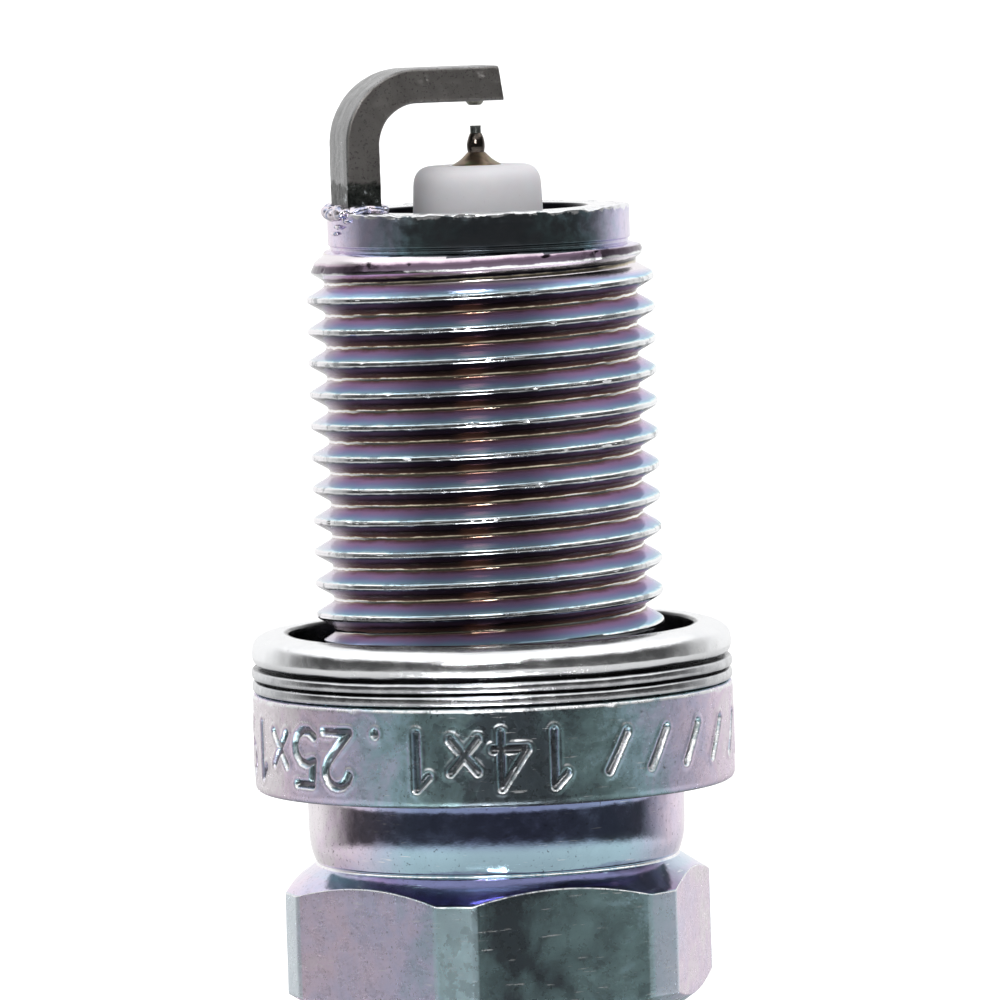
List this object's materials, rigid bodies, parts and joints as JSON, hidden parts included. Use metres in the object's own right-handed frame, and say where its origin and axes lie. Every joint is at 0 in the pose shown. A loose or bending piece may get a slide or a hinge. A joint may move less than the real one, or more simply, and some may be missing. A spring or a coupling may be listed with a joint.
{
  "type": "spark plug",
  "caption": "Iridium-tipped resistor spark plug with a 14 mm thread, captive folded gasket, 16 mm hexagon, ribbed insulator and removable terminal nut.",
  "frame": {"origin": "on the axis, in the flange face that the gasket seals on", "axes": "+Z along the axis towards the firing end; the hexagon, insulator and terminal are at negative Z; the ground electrode's foot is on the -X side"},
  "size_m": [0.019, 0.019, 0.0751],
  "materials": {
    "plated_steel": "iridescent zinc plating",
    "nickel_alloy": "satin",
    "weld_metal": "fused, uneven",
    "noble_metal": "satin",
    "gasket_steel": "bright plated sheet",
    "plain_steel": "satin",
    "copper": "satin",
    "alumina": "white, matt nose, glazed below the shell",
    "talc": "pressed powder",
    "seal_glass": "dark, copper-filled",
    "carbon_glass": "matt black",
    "terminal_steel": "nickel plated"
  },
  "bodies": {
    "plug": {"shell": "plated_steel", "ground_electrode": "nickel_alloy", "ground_weld_flash": "weld_metal", "platinum_pad": "noble_metal", "insulator": "alumina", "seat_packing": "plain_steel", "lower_wire_ring": "plain_steel", "talc_seal": "talc", "upper_wire_ring": "plain_steel", "center_electrode": "nickel_alloy", "copper_core": "copper", "tip_weld": "weld_metal", "iridium_tip": "noble_metal", "lower_glass_seal": "seal_glass", "resistor": "carbon_glass", "upper_glass_seal": "seal_glass", "terminal_stud": "plain_steel"},
    "gasket": {"gasket": "gasket_steel"},
    "terminal_nut": {"terminal_nut": "terminal_steel"}
  },
  "joints": [
    {"name": "gasket_spin", "type": "hinge", "parent": "plug", "child": "gasket", "pos_m": [0, 0, 0.001], "axis": [0, 0, 1], "continuous": true},
    {"name": "terminal_nut_slide", "type": "slide", "parent": "plug", "child": "terminal_nut", "axis": [0, 0, -1], "range_m": [0, 0.009]}
  ]
}
